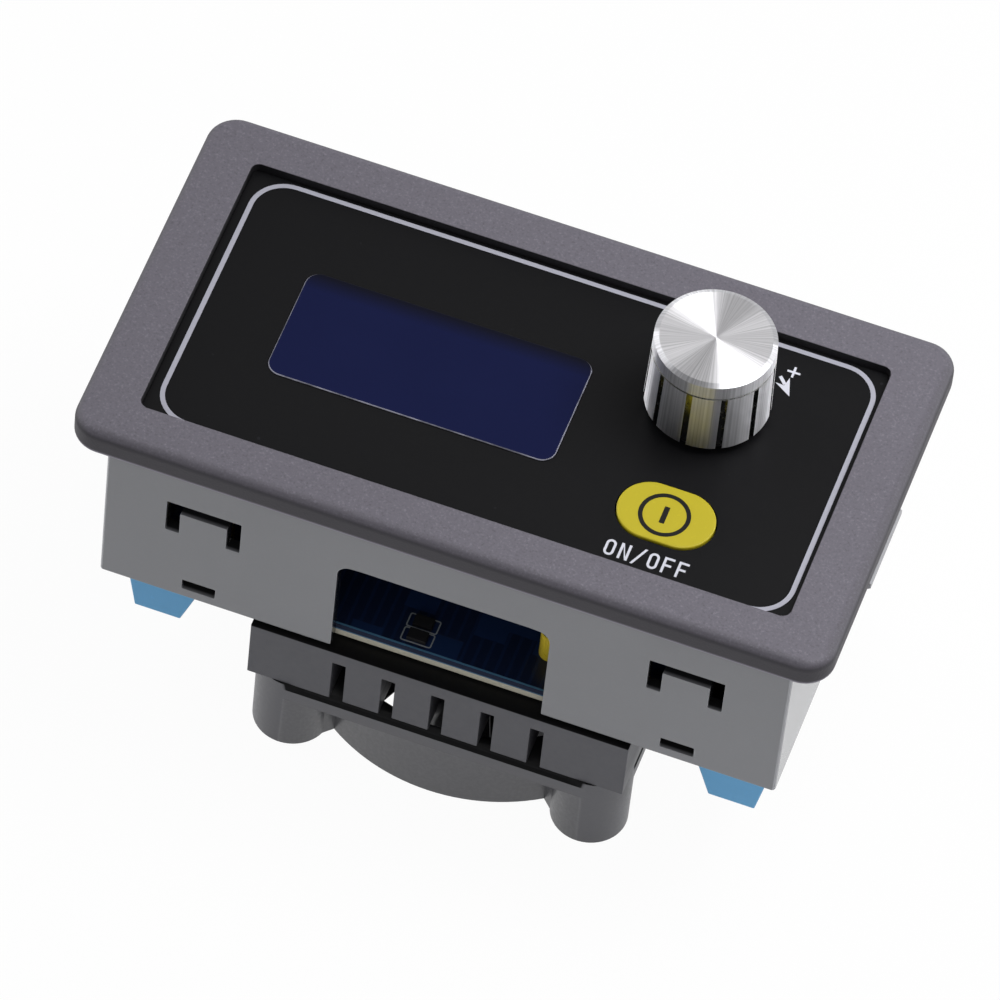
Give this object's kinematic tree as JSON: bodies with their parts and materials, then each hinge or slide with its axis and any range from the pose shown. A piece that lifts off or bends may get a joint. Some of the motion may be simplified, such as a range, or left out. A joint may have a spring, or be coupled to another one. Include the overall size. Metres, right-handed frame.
{
  "type": "dc electronic load",
  "caption": "Snap-in panel module that loads a DC supply: display, push-turn knob and power key in front, screw terminals and a fan-cooled heatsink behind.",
  "frame": {"origin": "middle of the face on which the unit stands, the rear face of its fan", "axes": "+X across the panel to the right, +Y up the panel, +Z out of the front face"},
  "size_m": [0.079, 0.043, 0.0528],
  "materials": {
    "case": "fine texture on the bezel, smooth walls",
    "overlay": "printed sheet, satin",
    "clear_window": "clear sheet, gloss",
    "lcd": "dark blue display, gloss",
    "white_plastic": "satin",
    "knob_metal": "turned top, polished side",
    "dark_plastic": "satin",
    "key_yellow": "satin",
    "board": "solder mask",
    "chip": "matte",
    "steel": "plated",
    "tinned": "tinned",
    "brass": "bare",
    "copper": "enamelled or bare copper alloy",
    "can": "bare can",
    "capacitor_yellow": "dipped",
    "terminal_blue": "satin",
    "pad": "soft pad",
    "anodised": "dark anodised",
    "fan_plastic": "satin",
    "magnet": "bare",
    "fan_board": "solder mask"
  },
  "bodies": {
    "case_body": {"case_shell": "case", "front_overlay": "overlay", "display_window": "clear_window", "lcd_glass": "lcd", "lcd_backlight": "white_plastic", "lcd_pins": "steel", "encoder_cover": "steel", "encoder_base": "dark_plastic", "switch_body": "dark_plastic", "switch_cover": "steel", "front_board": "board", "front_chips": "chip", "board_spacers": "brass", "spacer_screws": "steel", "header_strip": "dark_plastic", "header_pins": "brass", "header_socket": "dark_plastic", "rear_board": "board", "power_transistors": "chip", "shunt_resistor": "copper", "rear_chips": "chip", "electrolytic_capacitors": "can", "film_capacitor": "capacitor_yellow", "terminal_housing_left": "terminal_blue", "terminal_housing_right": "terminal_blue", "terminal_contacts": "tinned", "dc_jack_body": "dark_plastic", "dc_jack_contacts": "tinned", "usb_shell": "steel", "usb_tongue": "dark_plastic", "thermal_pad": "pad", "heatsink": "anodised", "heatsink_screws": "steel", "fan_frame": "fan_plastic", "fan_bearing": "brass", "fan_stator": "magnet", "fan_coils": "copper", "fan_board": "fan_board", "fan_screws": "steel"},
    "plunger_body": {"encoder_plunger": "white_plastic"},
    "knob_body": {"knob_cap": "knob_metal", "knob_core": "dark_plastic", "encoder_shaft": "steel"},
    "rotor_body": {"encoder_rotor": "brass"},
    "key_body": {"power_key": "key_yellow", "switch_stem": "dark_plastic"},
    "fan_body": {"fan_rotor": "fan_plastic", "fan_magnet": "magnet", "fan_shaft": "steel"},
    "screw_1": {"terminal_screw_1": "steel"},
    "clamp_1": {"terminal_clamp_1": "tinned"},
    "screw_2": {"terminal_screw_2": "steel"},
    "clamp_2": {"terminal_clamp_2": "tinned"},
    "screw_3": {"terminal_screw_3": "steel"},
    "clamp_3": {"terminal_clamp_3": "tinned"},
    "screw_4": {"terminal_screw_4": "steel"},
    "clamp_4": {"terminal_clamp_4": "tinned"}
  },
  "joints": [
    {"name": "knob_push", "type": "slide", "parent": "case_body", "child": "plunger_body", "axis": [0, 0, -1], "range_m": [0, 0.0005], "stiffness_N_per_m": 2000},
    {"name": "knob_spin", "type": "hinge", "parent": "plunger_body", "child": "knob_body", "pos_m": [0.01785, 0.006, 0.047], "axis": [0, 0, 1], "continuous": true},
    {"name": "encoder_spin", "type": "hinge", "parent": "case_body", "child": "rotor_body", "pos_m": [0.01785, 0.006, 0.0365], "axis": [0, 0, 1], "continuous": true},
    {"name": "key_press", "type": "slide", "parent": "case_body", "child": "key_body", "axis": [0, 0, -1], "range_m": [0, 0.00025], "stiffness_N_per_m": 2000},
    {"name": "fan_spin", "type": "hinge", "parent": "case_body", "child": "fan_body", "pos_m": [0.0006, 0, 0.004], "axis": [0, 0, 1], "continuous": true},
    {"name": "screw_1_turn", "type": "hinge", "parent": "case_body", "child": "screw_1", "pos_m": [-0.0307, -0.0126, 0.011], "axis": [0, 0, 1], "range_deg": [0, 1296.1]},
    {"name": "clamp_1_slide", "type": "slide", "parent": "case_body", "child": "clamp_1", "axis": [0, 0, -1], "range_m": [0, 0.0018]},
    {"name": "screw_2_turn", "type": "hinge", "parent": "case_body", "child": "screw_2", "pos_m": [-0.0307, -0.0076, 0.011], "axis": [0, 0, 1], "range_deg": [0, 1296.1]},
    {"name": "clamp_2_slide", "type": "slide", "parent": "case_body", "child": "clamp_2", "axis": [0, 0, -1], "range_m": [0, 0.0018]},
    {"name": "screw_3_turn", "type": "hinge", "parent": "case_body", "child": "screw_3", "pos_m": [0.0307, -0.0126, 0.011], "axis": [0, 0, 1], "range_deg": [0, 1296.1]},
    {"name": "clamp_3_slide", "type": "slide", "parent": "case_body", "child": "clamp_3", "axis": [0, 0, -1], "range_m": [0, 0.0018]},
    {"name": "screw_4_turn", "type": "hinge", "parent": "case_body", "child": "screw_4", "pos_m": [0.0307, -0.0076, 0.011], "axis": [0, 0, 1], "range_deg": [0, 1296.1]},
    {"name": "clamp_4_slide", "type": "slide", "parent": "case_body", "child": "clamp_4", "axis": [0, 0, -1], "range_m": [0, 0.0018]}
  ],
  "couplings": [
    {"joint": "encoder_spin", "follows": "knob_spin", "ratio": 1},
    {"joint": "screw_1_turn", "follows": "clamp_1_slide", "rad_per_m": 12566},
    {"joint": "screw_2_turn", "follows": "clamp_2_slide", "rad_per_m": 12566},
    {"joint": "screw_3_turn", "follows": "clamp_3_slide", "rad_per_m": 12566},
    {"joint": "screw_4_turn", "follows": "clamp_4_slide", "rad_per_m": 12566}
  ]
}
